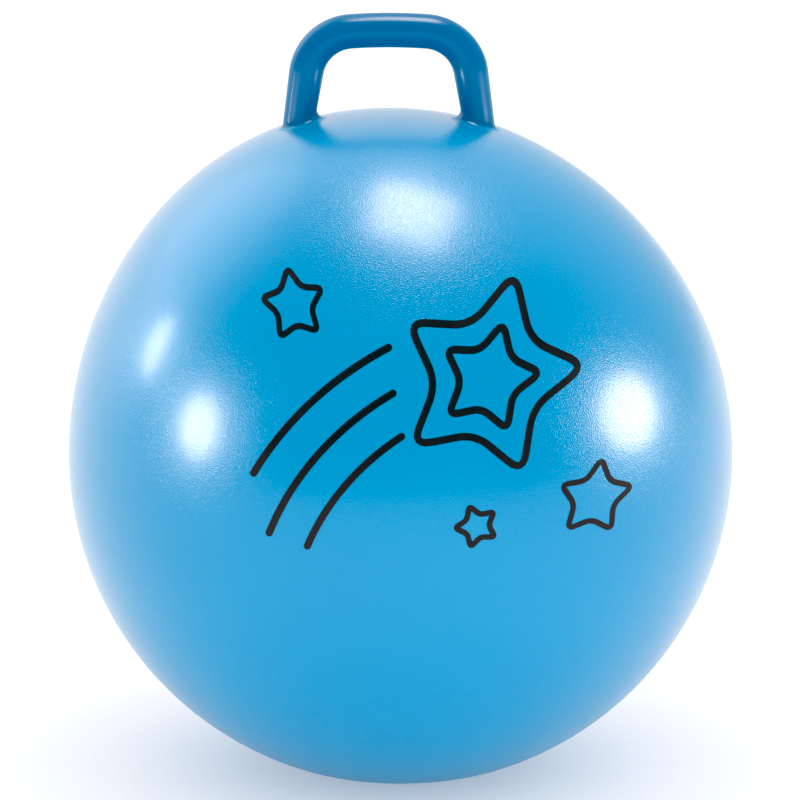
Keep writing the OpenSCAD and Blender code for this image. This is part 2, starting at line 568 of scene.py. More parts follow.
@dataclass(frozen=True)
class BallForm:
    """Sizes of the pear-shaped ball, and the arcs that follow from them.

    Attributes:
        belly_r: Radius of the belly.
        crown_inset: How much smaller the crown's radius is than the belly's.
        crown_rise: Distance from the belly's middle to the crown's.
        crown_shift: How far the crown stands to the left.
        cap_bulge: How much larger the radius of the flatter cap is than the crown's.
        cap_reach: Distance from the cap's axis at which it meets the crown.
        shoulder_bulge: How much larger the radius of the shoulder's arc is than the belly's.
        patch_r: Radius of the flat patch underneath.
        sag_inset: How much smaller the radius of the sag round the patch is than the belly's.
        skin_t: Thickness of the skin.
        valve_drop: Angle of the valve below the belly's equator.
        join_drop: Angle below the equator where the upper and the lower ball meet.
    """

    belly_r: float = 225 * MM
    crown_inset: float = 18 * MM
    crown_rise: float = 30 * MM
    crown_shift: float = 8 * MM
    cap_bulge: float = 24 * MM
    cap_reach: float = 80.19 * MM
    shoulder_bulge: float = 30 * MM
    patch_r: float = 36 * MM
    sag_inset: float = 85 * MM
    skin_t: float = 1.3 * MM
    valve_drop: float = math.radians(35)
    join_drop: float = math.radians(30)

    @property
    def crown_r(self) -> float:
        """Radius of the crown."""
        return self.belly_r - self.crown_inset

    @property
    def cap_r(self) -> float:
        """Radius of the flatter cap under the handle."""
        return self.crown_r + self.cap_bulge

    @property
    def cap_drop(self) -> float:
        """Height of the crown's middle over the cap's, so that the two meet at the cap's reach."""
        return math.sqrt(self.cap_r**2 - self.cap_reach**2) - math.sqrt(self.crown_r**2 - self.cap_reach**2)

    @property
    def sag_r(self) -> float:
        """Radius of the sag round the flat patch."""
        return self.belly_r - self.sag_inset

    @property
    def sag_drop(self) -> float:
        """Height of the belly's middle over the sag's."""
        return math.sqrt(self.sag_inset**2 - self.patch_r**2)

    @property
    def middle(self) -> Vector:
        """Middle of the belly."""
        return Vector((0, 0, self.sag_r + self.sag_drop))

    @property
    def crown_way(self) -> Vector:
        """Direction from the belly's middle to the crown's."""
        lean = math.asin(self.crown_shift / self.crown_rise)
        return Vector((-math.sin(lean), 0, math.cos(lean)))

    @property
    def side_way(self) -> Vector:
        """Direction square to the crown's, to the right."""
        return Y_AXIS.cross(self.crown_way)

    @property
    def crown_middle(self) -> Vector:
        """Middle of the crown."""
        return self.middle + self.crown_rise * self.crown_way

    @property
    def cap_middle(self) -> Vector:
        """Middle of the flatter cap."""
        return self.crown_middle - self.cap_drop * Z_AXIS

    @property
    def shoulder_middle(self) -> Vector:
        """Finds the middle of the arc that joins belly and crown and touches both.

        Returns:
            The point, in the plane of the outline.
        """
        reach = self.shoulder_bulge + self.crown_inset
        rise = (self.shoulder_bulge**2 - reach**2 + self.crown_rise**2) / (2 * self.crown_rise)
        aside = math.sqrt(self.shoulder_bulge**2 - rise**2)
        return self.middle + rise * self.crown_way - aside * self.side_way

    @property
    def valve_frame(self) -> Matrix:
        """Frame with its origin on the skin at the valve and +Z outwards."""
        turn = Matrix.Rotation(-QUARTER_TURN - self.valve_drop, 4, "X")
        return Matrix.Translation(self.middle) @ turn @ Matrix.Translation((0, 0, self.belly_r))

    def latitude(self, way: Vector) -> float:
        """Angle of a direction in the plane of the outline above the crown's equator."""
        return math.atan2(way.dot(self.crown_way), way.dot(self.side_way))


# The skin


@dataclass(kw_only=True)
class Skin(Part):
    """The blown skin: two revolved outlines bridged at the belly, pressed flatter on top and bored.

    Attributes:
        form: Sizes of the ball.
        segments: Steps of each revolution.
        arc_step: Angle between the points of an outline's arcs.
        cap_floor: Share of the cap's radius from which up the crown is flattened.
        cap_soft: Softness of the flattened top's edge.
        trim_spare: Sweep of the upper outline past the join, which is trimmed off level.
        bridge_h: Height of the band that bridges the two halves.
        hole_d: Diameter of the valve's hole.
        hole_sides: Sides of the valve's hole.
        drill_l: Length of the drill that cuts it.
    """

    NAME = "skin"
    SLOT = Slot.SKIN
    STANDS_FOR = CadNode.SKIN

    form: BallForm
    sharp: float = math.radians(35)
    segments: int = 192
    arc_step: float = math.radians(1.5)
    cap_floor: float = 0.75
    cap_soft: float = 0.3 * MM
    trim_spare: float = math.radians(30)
    bridge_h: float = 4 * MM
    hole_d: float = 24 * MM
    hole_sides: int = 96
    drill_l: float = 48 * MM

    def arc(self, angle: float, centre: Vector) -> None:
        """Draws the outline on, upwards by an arc about a point."""
        steps = max(1, round(abs(angle) / self.arc_step))
        spin(steps, angle, centre, -Y_AXIS)

    def revolve(self, axis: Vector) -> None:
        """Turns the whole outline once about the ball's middle.

        Args:
            axis: Direction of the axis.
        """
        bpy.ops.mesh.select_all(action="SELECT")
        spin(self.segments, FULL_TURN, self.form.middle, axis)
        bpy.ops.mesh.select_all(action="SELECT")
        bpy.ops.mesh.remove_doubles(threshold=WELD)

    def flatten_crown(self, mesh: bpy.types.Mesh) -> None:
        """Presses the top of the crown down onto the flatter cap, with a soft edge.

        Args:
            mesh: The upper ball, in edit mode.
        """
        form = self.form
        work = bmesh.from_edit_mesh(mesh)
        for vertex in work.verts:
            spoke = vertex.co - form.cap_middle
            if spoke.z < self.cap_floor * form.cap_r:
                continue
            over = spoke.length - form.cap_r
            share = min(max(0.5 + over / (2 * self.cap_soft), 0), 1)
            press = share * over + self.cap_soft * share * (1 - share)
            vertex.co -= press * spoke.normalized()
        bmesh.update_edit_mesh(mesh)

    def upper(self) -> bpy.types.Object:
        """Revolves belly, shoulder and crown about the leaning axis, flattens the top and trims them level.

        Returns:
            The upper ball, open below.
        """
        form = self.form
        to_shoulder = form.latitude(form.middle - form.shoulder_middle)
        to_crown = form.latitude(form.crown_middle - form.shoulder_middle)
        start = -(form.join_drop + self.trim_spare)
        low = math.cos(start) * form.side_way + math.sin(start) * form.crown_way
        half = start_outline(form.middle + form.belly_r * low)
        self.arc(to_shoulder - start, form.middle)
        self.arc(to_crown - to_shoulder, form.shoulder_middle)
        self.arc(QUARTER_TURN - to_crown, form.crown_middle)
        self.revolve(form.crown_way)
        self.flatten_crown(half.data)
        trim = form.middle - (form.belly_r * math.sin(form.join_drop) - self.bridge_h) * Z_AXIS
        bpy.ops.mesh.select_all(action="SELECT")
        bpy.ops.mesh.bisect(plane_co=trim, plane_no=Z_AXIS, clear_inner=True)
        bpy.ops.object.mode_set(mode="OBJECT")
        return half

    def lower(self) -> bpy.types.Object:
        """Revolves belly, sag and flat patch about the upright axis.

        Returns:
            The lower ball, open above.
        """
        form = self.form
        sag_middle = form.middle + Vector((form.patch_r, 0, -form.sag_drop))
        to_sag = math.atan2(form.sag_drop, form.patch_r)
        rim = Vector((math.cos(form.join_drop), 0, -math.sin(form.join_drop)))
        half = start_outline(form.middle + form.belly_r * rim)
        self.arc(form.join_drop - to_sag, form.middle)
        self.arc(to_sag - QUARTER_TURN, sag_middle)
        bpy.ops.mesh.extrude_region_move(TRANSFORM_OT_translate={"value": -form.patch_r * X_AXIS})
        self.revolve(Z_AXIS)
        bpy.ops.object.mode_set(mode="OBJECT")
        return half

    def drill(self) -> bpy.types.Object:
        """Sets a drill for the valve's hole across the wall.

        Returns:
            The drill.
        """
        clear_selection()
        bpy.ops.mesh.primitive_cylinder_add(
            vertices=self.hole_sides, radius=self.hole_d / 2, depth=self.drill_l
        )
        drill = bpy.context.object
        drill.matrix_world = self.form.valve_frame
        return drill

    def build(self) -> None:
        """Models the skin."""
        ball = join([self.upper(), self.lower()])
        edit_rims(ball)
        bpy.ops.mesh.bridge_edge_loops()
        bpy.ops.object.mode_set(mode="OBJECT")
        close_seams(ball)
        apply_modifier(ball, "SOLIDIFY", thickness=self.form.skin_t, offset=-1)
        drill = self.drill()
        apply_modifier(ball, "BOOLEAN", operation="DIFFERENCE", object=drill, solver="EXACT")
        bpy.data.objects.remove(drill)
        self.complete(ball)


# The handle


@dataclass(kw_only=True)
class Handle(Part):
    """The D-shaped handle: a tube spun round bow and corner, drawn down a leg and flared at the foot.

    Attributes:
        form: Sizes of the ball that it stands on.
        tube_r: Radius of the tube along the grip and its corners.
        foot_r: Radius of a leg at its foot.
        grip_rise: Height of the grip's centre line over the cap.
        grip_w: Width of the bowed grip between its corners.
        bow_r: Radius of the grip's bow.
        corner_r: Radius of a corner's centre line.
        leg_splay: Angle of a leg from upright.
        fillet_r: Radius of the fillet round a foot.
        root_depth: Depth of a foot's end in the skin.
        sides: Vertices of each ring.
        bow_steps: Rings along half the bow.
        corner_steps: Rings along a corner.
        leg_steps: Rings along a leg.
        fillet_steps: Rings along a fillet.
    """

    NAME = "grip_handle"
    SLOT = Slot.HANDLE
    STANDS_FOR = CadNode.HANDLE
    ANGLE = "tube_angle"

    form: BallForm
    sharp: float = math.radians(50)
    tube_r: float = 11.6 * MM
    foot_r: float = 10.6 * MM
    grip_rise: float = 55 * MM
    grip_w: float = 51 * MM
    bow_r: float = 360 * MM
    corner_r: float = 32 * MM
    leg_splay: float = math.radians(8.5)
    fillet_r: float = 5.5 * MM
    root_depth: float = 0.6 * MM
    sides: int = 72
    bow_steps: int = 5
    corner_steps: int = 22
    leg_steps: int = 6
    fillet_steps: int = 12

    @staticmethod
    def out(turn: float) -> Vector:
        """Way out of the loop where its centre line has turned from the top by an angle."""
        return Vector((math.sin(turn), 0, math.cos(turn)))

    @property
    def bow(self) -> float:
        """Half the grip's bow, as an angle."""
        return math.asin(self.grip_w / 2 / self.bow_r)

    @property
    def leg_turn(self) -> float:
        """Turn of the centre line from the top of the grip to the leg."""
        return QUARTER_TURN - self.leg_splay

    @property
    def mid_plane(self) -> Vector:
        """A point of the plane that mirrors the handle."""
        return self.form.crown_middle.x * X_AXIS

    @property
    def bow_middle(self) -> Vector:
        """Middle of the grip's bow."""
        return self.form.cap_middle + (self.form.cap_r + self.grip_rise - self.bow_r) * Z_AXIS

    @property
    def corner_middle(self) -> Vector:
        """Middle of the corner."""
        return self.bow_middle + (self.bow_r - self.corner_r) * self.out(self.bow)

    @property
    def leg_top(self) -> Vector:
        """Where the leg's centre line begins."""
        return self.corner_middle + self.corner_r * self.out(self.leg_turn)

    def spoke(self, angle: float) -> Vector:
        """Way out of the leg's centre line at an angle round the tube."""
        return math.cos(angle) * self.out(self.leg_turn) + math.sin(angle) * Y_AXIS

    def meets(self, angle: float, r: float, sphere_r: float) -> Vector:
        """Finds where a line along the leg meets a sphere about the cap's middle.

        Args:
            angle: Angle of the line round the tube.
            r: Its distance from the leg's centre line.
            sphere_r: Radius of the sphere.

        Returns:
            The point, seen from the cap's middle.
        """
        down = Vector((math.sin(self.leg_splay), 0, -math.cos(self.leg_splay)))
        start = self.leg_top - self.form.cap_middle + r * self.spoke(angle)
        along = start.dot(down)
        return start - (along + math.sqrt(along**2 - start.length_squared + sphere_r**2)) * down

    def fillet(self, angle: float, share: float) -> Vector:
        """Follows a ball rolled round the foot, which touches both the leg and the skin.

        Args:
            angle: Angle round the tube.
            share: 0 at the touch on the leg, 1 at the touch on the skin.

        Returns:
            The point of the fillet.
        """
        ball = self.meets(angle, self.foot_r + self.fillet_r, self.form.cap_r + self.fillet_r)
        touch = (-self.spoke(angle)).slerp(-ball.normalized(), share)
        return self.form.cap_middle + ball + self.fillet_r * touch

    def leg(self, angle: float, share: float) -> Vector:
        """Goes straight down the leg, from the corner at share 0 to the fillet at share 1."""
        return (self.leg_top + self.tube_r * self.spoke(angle)).lerp(self.fillet(angle, 0), share)

    def root(self, angle: float, depth: float) -> Vector:
        """Carries the foot on into the skin by a depth."""
        rim = self.fillet(angle, 1)
        return rim - depth * (rim - self.form.cap_middle).normalized()

    def first_ring(self) -> bpy.types.Object:
        """Adds the ring at the top of the grip and notes each vertex's angle round the tube.

        Returns:
            The half handle, in edit mode, with its origin on the mid plane.
        """
        top = self.bow_middle + self.bow_r * Z_AXIS - self.mid_plane
        half = start_ring(self.sides, self.tube_r, top, tilt=QUARTER_TURN)
        work = bmesh.from_edit_mesh(half.data)
        angle = work.verts.layers.float.new(self.ANGLE)
        for vertex in work.verts:
            vertex[angle] = math.atan2(vertex.co.y, vertex.co.z - top.z)
        bmesh.update_edit_mesh(half.data)
        return half

    def draw_ring(
        self, mesh: bpy.types.Mesh, place: Callable[[float, float], Vector], share: float
    ) -> None:
        """Extrudes the selected ring and puts each new vertex where its angle round the tube says.

        Args:
            mesh: The handle's mesh, in edit mode.
            place: Gives the vertex's place from its angle and the share.
            share: How far along its stretch the ring lies.
        """
        bpy.ops.mesh.extrude_region_move()
        work = bmesh.from_edit_mesh(mesh)
        angle = work.verts.layers.float[self.ANGLE]
        for vertex in work.verts:
            if vertex.select:
                vertex.co = place(vertex[angle], share) - self.mid_plane
        bmesh.update_edit_mesh(mesh)

    def build(self) -> None:
        """Models the handle."""
        half = self.first_ring()
        spin(self.bow_steps, self.bow, self.bow_middle - self.mid_plane, Y_AXIS)
        spin(self.corner_steps, self.leg_turn - self.bow, self.corner_middle - self.mid_plane, Y_AXIS)
        for place, steps in ((self.leg, self.leg_steps), (self.fillet, self.fillet_steps)):
            for step in range(1, steps + 1):
                self.draw_ring(half.data, place, step / steps)
        self.draw_ring(half.data, self.root, self.root_depth)
        bpy.ops.mesh.edge_face_add()
        bpy.ops.object.mode_set(mode="OBJECT")
        apply_modifier(half, "MIRROR", merge_threshold=WELD)
        half.data.attributes.remove(half.data.attributes[self.ANGLE])
        close_seams(half)
        half.location = self.mid_plane
        self.complete(half)


# The valve


@dataclass(kw_only=True)
class Turned(Part):
    """A piece of the valve, turned as on a lathe, with broken edges."""

    form: BallForm
    sharp: float = math.radians(40)
    sides: int
    edge_r: float
    edge_steps: int = 3

    def profile(self) -> Iterator[Station]:
        """Gives radius and height of each ring of the section. A last radius of zero closes the end."""
        raise NotImplementedError

    def turn(self) -> bpy.types.Object:
        """Draws a ring along the profile about the Z axis.

        Returns:
            The turned shape.
        """
        (radius, height), *others = self.profile()
        shape = start_ring(self.sides, radius, height * Z_AXIS)
        for next_radius, next_height in others:
            rise = (next_height - height) * Z_AXIS
            bpy.ops.mesh.extrude_region_move(TRANSFORM_OT_translate={"value": rise})
            share = next_radius / radius
            bpy.ops.transform.resize(value=(share, share, 1), center_override=next_height * Z_AXIS)
            radius, height = next_radius, next_height
        bpy.ops.object.mode_set(mode="OBJECT")
        close_seams(shape)
        return shape

    def build(self) -> None:
        """Turns the piece, breaks its edges and puts it in the valve's place."""
        shape = self.turn()
        apply_modifier(shape, "BEVEL", width=self.edge_r, segments=self.edge_steps, limit_method="ANGLE")
        shape.matrix_world = self.form.valve_frame
        self.complete(shape)


@dataclass(kw_only=True)
class ValveSeat(Turned):
    """The moulded-in insert: a neck flush with the skin, a flange under it, and a bored barrel."""

    NAME = "valve_ring"
    SLOT = Slot.SEAT
    STANDS_FOR = CadNode.SEAT

    sides: int = 96
    edge_r: float = 0.35 * MM
    neck_r: float = 11.9 * MM
    recess_r: float = 8.8 * MM
    recess_depth: float = 1.8 * MM
    bore_r: float = 4.5 * MM
    barrel_r: float = 7.5 * MM
    length: float = 18 * MM
    flange_r: float = 18 * MM
    flange_t: float = 2 * MM
    bond_gap: float = 0.1 * MM

    def dome(self, r: float, depth: float) -> Station:
        """A point at a radius from the valve's axis and a depth under the skin's outer face."""
        return r, math.sqrt((self.form.belly_r - depth) ** 2 - r**2) - self.form.belly_r

    def profile(self) -> Iterator[Station]:
        """Goes once round the seat's section.

        Yields:
            Radius and height of each corner, back to the first.
        """
        top = self.form.skin_t + self.bond_gap
        bottom = top + self.flange_t
        yield self.bore_r, -self.recess_depth
        yield self.recess_r, -self.recess_depth
        yield self.dome(self.recess_r, 0)
        yield self.dome(self.neck_r, 0)
        yield self.dome(self.neck_r, top)
        yield self.dome(self.flange_r, top)
        yield self.dome(self.flange_r, bottom)
        yield self.dome(self.barrel_r, bottom)
        yield self.barrel_r, -self.length
        yield self.bore_r, -self.length
        yield self.bore_r, -self.recess_depth


@dataclass(kw_only=True)
class ValvePlug(Turned):
    """The push-in plug: a domed head on a ribbed, tapered stem."""

    NAME = "push_plug"
    SLOT = Slot.PLUG
    BODY = Body.PLUG
    STANDS_FOR = CadNode.PLUG

    sides: int = 72
    edge_r: float = 0.3 * MM
    head_r: float = 8.5 * MM
    head_bottom: float = -1.5 * MM
    head_t: float = 2.6 * MM
    dome_r: float = 40 * MM
    dome_steps: int = 6
    stem_r: float = 3.7 * MM
    stem_l: float = 20 * MM
    tip_l: float = 4 * MM
    tip_r: float = 2.3 * MM
    ribs: int = 3
    rib_r: float = 4.4 * MM
    rib_l: float = 2.4 * MM
    rib_pitch: float = 4 * MM

    def stem(self) -> Iterator[Station]:
        """Goes up the stem, from its tip to the head.

        Yields:
            Radius and height of each corner.
        """
        tip = self.head_bottom - self.stem_l
        yield self.tip_r, tip
        yield self.stem_r, tip + self.tip_l
        for rib in range(self.ribs, 0, -1):
            foot = self.head_bottom - rib * self.rib_pitch
            yield self.stem_r, foot
            yield self.rib_r, foot + self.rib_l
            yield self.stem_r, foot + self.rib_l
        yield self.stem_r, self.head_bottom

    def head(self) -> Iterator[Station]:
        """Goes round the head, from its underside to the middle of its dome.

        Yields:
            Radius and height of each corner.
        """
        top = self.head_bottom + self.head_t
        yield self.head_r, self.head_bottom
        for step in range(self.dome_steps + 1):
            r = self.head_r * (1 - step / self.dome_steps)
            yield r, top - self.dome_r + math.sqrt(self.dome_r**2 - r**2)

    def profile(self) -> Iterator[Station]:
        """Goes up the stem and round the head."""
        yield from self.stem()
        yield from self.head()

    def turn(self) -> bpy.types.Object:
        """Turns the plug and closes its tip with a flat face.

        Returns:
            The closed shape.
        """
        plug = super().turn()
        edit_rims(plug)
        bpy.ops.mesh.edge_face_add()
        bpy.ops.object.mode_set(mode="OBJECT")
        close_seams(plug)
        return plug


# The print


@dataclass(frozen=True)
class Stroke:
    """One line of the print: its centre line on the flat film, and its width."""

    line: list[Vector]
    width: float
    wrap: Wrap

    def point(self, index: int) -> Vector:
        """A point of the centre line, counted round a closed one."""
        return self.line[index % len(self.line)]

    def way(self, index: int) -> Vector:
        """Finds the direction of the line at a point.

        Args:
            index: Number of the point.

        Returns:
            The direction.
        """
        if self.wrap is Wrap.CLOSED:
            return (self.point(index + 1) - self.point(index - 1)).normalized()
        before, after = max(index - 1, 0), min(index + 1, len(self.line) - 1)
        return (self.line[after] - self.line[before]).normalized()

    def rung(self, index: int, on: float = 0.0, share: float = 1.0) -> Rung:
        """Works out a pair of edge points.

        Args:
            index: Number of the point on the centre line.
            on: How far beyond the point, along the line, in half widths.
            share: Share of the width.

        Returns:
            The left and the right edge point.
        """
        half = self.width / 2
        way = self.way(index)
        at = self.point(index) + on * half * way
        return at + share * half * way.orthogonal(), at - share * half * way.orthogonal()

    def rungs(self, cap_steps: int) -> list[Rung]:
        """Works out the pairs of edge points along the stroke.

        Args:
            cap_steps: Steps along each round end.

        Returns:
            Left and right edge points from one end to the other.
        """
        count = len(self.line)
        if self.wrap is Wrap.CLOSED:
            return [self.rung(index) for index in range(count + 1)]
        angles = [QUARTER_TURN * step / cap_steps for step in range(cap_steps)]
        head = [self.rung(0, -math.cos(angle), math.sin(angle)) for angle in angles]
        tail = [self.rung(count - 1, math.cos(angle), math.sin(angle)) for angle in reversed(angles)]
        return head + [self.rung(index) for index in range(count)] + tail


@dataclass(frozen=True)
class Star:
    """A star of the print, drawn as an outline with rounded points.

    Attributes:
        at: Place of its middle, from the print's.
        r: Distance from its middle to its points, before they are rounded.
        lean: Turn to the left, in radians.
        pen: Width of its line.
        points: Number of its points.
        waist_share: Share of the radius at its waists.
        round_share: Share of each side that a rounding takes up.
        least_turns: Fewest steps round a corner.
        least_stops: Fewest steps along a side.
    """

    at: Spot
    r: float
    lean: float
    pen: Pen = Pen.FINE
    points: int = 5
    waist_share: float = 0.54
    round_share: float = 0.3
    least_turns: int = 6
    least_stops: int = 2

    def corners(self, middle: Vector) -> list[Vector]:
        """Goes once round the star's points and waists.

        Args:
            middle: Middle of the print.

        Returns:
            The corners before they are rounded.
        """
        corners = []
        for i in range(2 * self.points):
            angle = self.lean + QUARTER_TURN + math.pi * i / self.points
            r = self.r * (self.waist_share if i % 2 else 1)
            corners.append(middle + Vector(self.at) + r * Vector((math.cos(angle), math.sin(angle))))
        return corners

    def stroke(self, middle: Vector, pace: float) -> Stroke:
        """Draws the star.

        Args:
            middle: Middle of the print.
            pace: Distance between points along the line.

        Returns:
            The stroke.
        """
        corners = self.corners(middle)
        line = []
        for i, corner in enumerate(corners):
            before, after = corners[i - 1], corners[(i + 1) % len(corners)]
            start, end = corner.lerp(before, self.round_share), corner.lerp(after, self.round_share)
            turns = max(self.least_turns, round((end - start).length / pace))
            for turn in range(turns + 1):
                share = turn / turns
                line.append(start.lerp(corner, share).lerp(corner.lerp(end, share), share))
            straight = end.lerp(after, 1 - self.round_share / (1 - self.round_share))
            stops = max(self.least_stops, round((straight - end).length / pace))
            line.extend(end.lerp(straight, stop / stops) for stop in range(1, stops))
        return Stroke(line, self.pen.value, Wrap.CLOSED)


@dataclass(frozen=True)
class Tail:
    """One line of the star's tail: part of a circle.

    Attributes:
        at: Place of the circle's middle, from the print's.
        r: Radius of the circle.
        start: Angle where the line starts, in degrees from the right.
        sweep: Angle that it goes on by, in degrees to the left.
        pen: Width of the line.
        least_steps: Fewest steps along it.
    """

    at: Spot
    r: float
    start: float
    sweep: float
    pen: Pen = Pen.BOLD
    least_steps: int = 4

    def stroke(self, middle: Vector, pace: float) -> Stroke:
        """Draws the line.

        Args:
            middle: Middle of the print.
            pace: Distance between points along the line.

        Returns:
            The stroke.
        """
        centre = middle + Vector(self.at)
        steps = max(self.least_steps, round(math.radians(self.sweep) * self.r / pace))
        angles = [math.radians(self.start + self.sweep * step / steps) for step in range(steps + 1)]
        line = [centre + self.r * Vector((math.cos(angle), math.sin(angle))) for angle in angles]
        return Stroke(line, self.pen.value, Wrap.OPEN)


@dataclass(kw_only=True)
class LinePrint(Part):
    """A shooting star with its tail and a few small stars, in strokes of ink on the front of the skin.

    Attributes:
        skin: What the ink lies on.
        middle: Place of the print's middle on the film.
        star_at: Place of the big star, from the print's middle.
        star_lean: The big star's turn to the left.
        tail_at: Middle of the tail's circles, from the print's middle.
        film_y: Where the flat film stands, in front of the ball.
        ink_lift: Height of the ink's underside over the skin.
        ink_t: Thickness of the ink.
        pace: Distance between points along a line.
        lanes: Faces across a line.
        cap_steps: Steps along each round end.
    """

    NAME = "line_print"
    SLOT = Slot.SKIN

    skin: Skin
    sharp: float = math.radians(50)
    middle: Spot = (20 * MM, 282 * MM)
    star_at: Spot = (36 * MM, 30 * MM)
    star_lean: float = math.radians(-16)
    tail_at: Spot = (60 * MM, -130 * MM)
    film_y: float = -300 * MM
    ink_lift: float = 0.05 * MM
    ink_t: float = 0.1 * MM
    pace: float = 2 * MM
    lanes: int = 4
    cap_steps: int = 6

    def layout(self) -> Iterator[Star | Tail]:
        """Lays out the print.

        Yields:
            The big star's two outlines, the three lines of its tail, and the small stars.
        """
        for r in (62 * MM, 33 * MM):
            yield Star(at=self.star_at, r=r, lean=self.star_lean, pen=Pen.BOLD)
        yield Tail(at=self.tail_at, r=150 * MM, start=122, sweep=36)
        yield Tail(at=self.tail_at, r=175 * MM, start=119, sweep=40)
        yield Tail(at=self.tail_at, r=200 * MM, start=116, sweep=34)
        yield Star(at=(-88 * MM, 72 * MM), r=21 * MM, lean=math.radians(12))
        yield Star(at=(104 * MM, -50 * MM), r=25 * MM, lean=math.radians(-10))
        yield Star(at=(28 * MM, -60 * MM), r=14 * MM, lean=math.radians(20))

    def band(self, stroke: Stroke) -> bpy.types.Object:
        """Shapes a grid into a stroke on the film in front of the ball.

        Args:
            stroke: The stroke.

        Returns:
            The flat band.
        """
        rungs = stroke.rungs(self.cap_steps)
        last = len(rungs) - 1
        size = 1
        clear_selection()
        bpy.ops.mesh.primitive_grid_add(x_subdivisions=last, y_subdivisions=self.lanes, size=size)
        band = bpy.context.object
        for vertex in band.data.vertices:
            along, across = vertex.co.x + size / 2, vertex.co.y + size / 2
            left, right = rungs[round(along * last)]
            at = right.lerp(left, across)
            vertex.co = (at.x, self.film_y, at.y)
        edit_all()
        bpy.ops.mesh.remove_doubles(threshold=WELD)
        bpy.ops.object.mode_set(mode="OBJECT")
        return band

    def build(self) -> None:
        """Draws every stroke, lays them on the skin and gives the ink its thickness."""
        strokes = [motif.stroke(Vector(self.middle), self.pace) for motif in self.layout()]
        ink = join([self.band(stroke) for stroke in strokes])
        apply_modifier(
            ink, "SHRINKWRAP", target=self.skin.piece, wrap_method="PROJECT", use_project_y=True,
            use_negative_direction=False, use_positive_direction=True, offset=self.ink_lift,
        )
        apply_modifier(ink, "SOLIDIFY", thickness=self.ink_t, offset=1)
        self.complete(ink)


# The studio


@dataclass(frozen=True)
class Softbox:
    """A soft light that faces the ball.

    Attributes:
        name: Name of the light.
        way: Direction from the ball's middle to it.
        distance: Its distance from there.
        size: Width and height of its face.
        radiance: Brightness of its face.
        tint: Colour of its light.
        outline: Shape of its face.
    """

    name: str
    way: Vector
    distance: float
    size: tuple[float, float]
    radiance: float
    tint: Colour = (1.05, 0.99, 0.92)
    outline: Outline = Outline.ELLIPSE

    @property
    def area(self) -> float:
        """Area of its face."""
        box = self.size[0] * self.size[1]
        return box if self.outline is Outline.RECTANGLE else math.pi / 4 * box

    def hang(self, middle: Vector) -> None:
        """Adds the light, which shows only in glossy reflections.

        Args:
            middle: The point that it faces.
        """
        way = self.way.normalized()
        bpy.ops.object.light_add(type="AREA", location=middle + self.distance * way)
        light = bpy.context.object
        light.name = self.name
        light.rotation_euler = (-way).to_track_quat("-Z", "Y").to_euler()
        light.data.shape = self.outline.value
        light.data.size, light.data.size_y = self.size
        light.data.energy = self.radiance * math.pi * self.area
        light.data.color = self.tint
        light.visible_diffuse = False


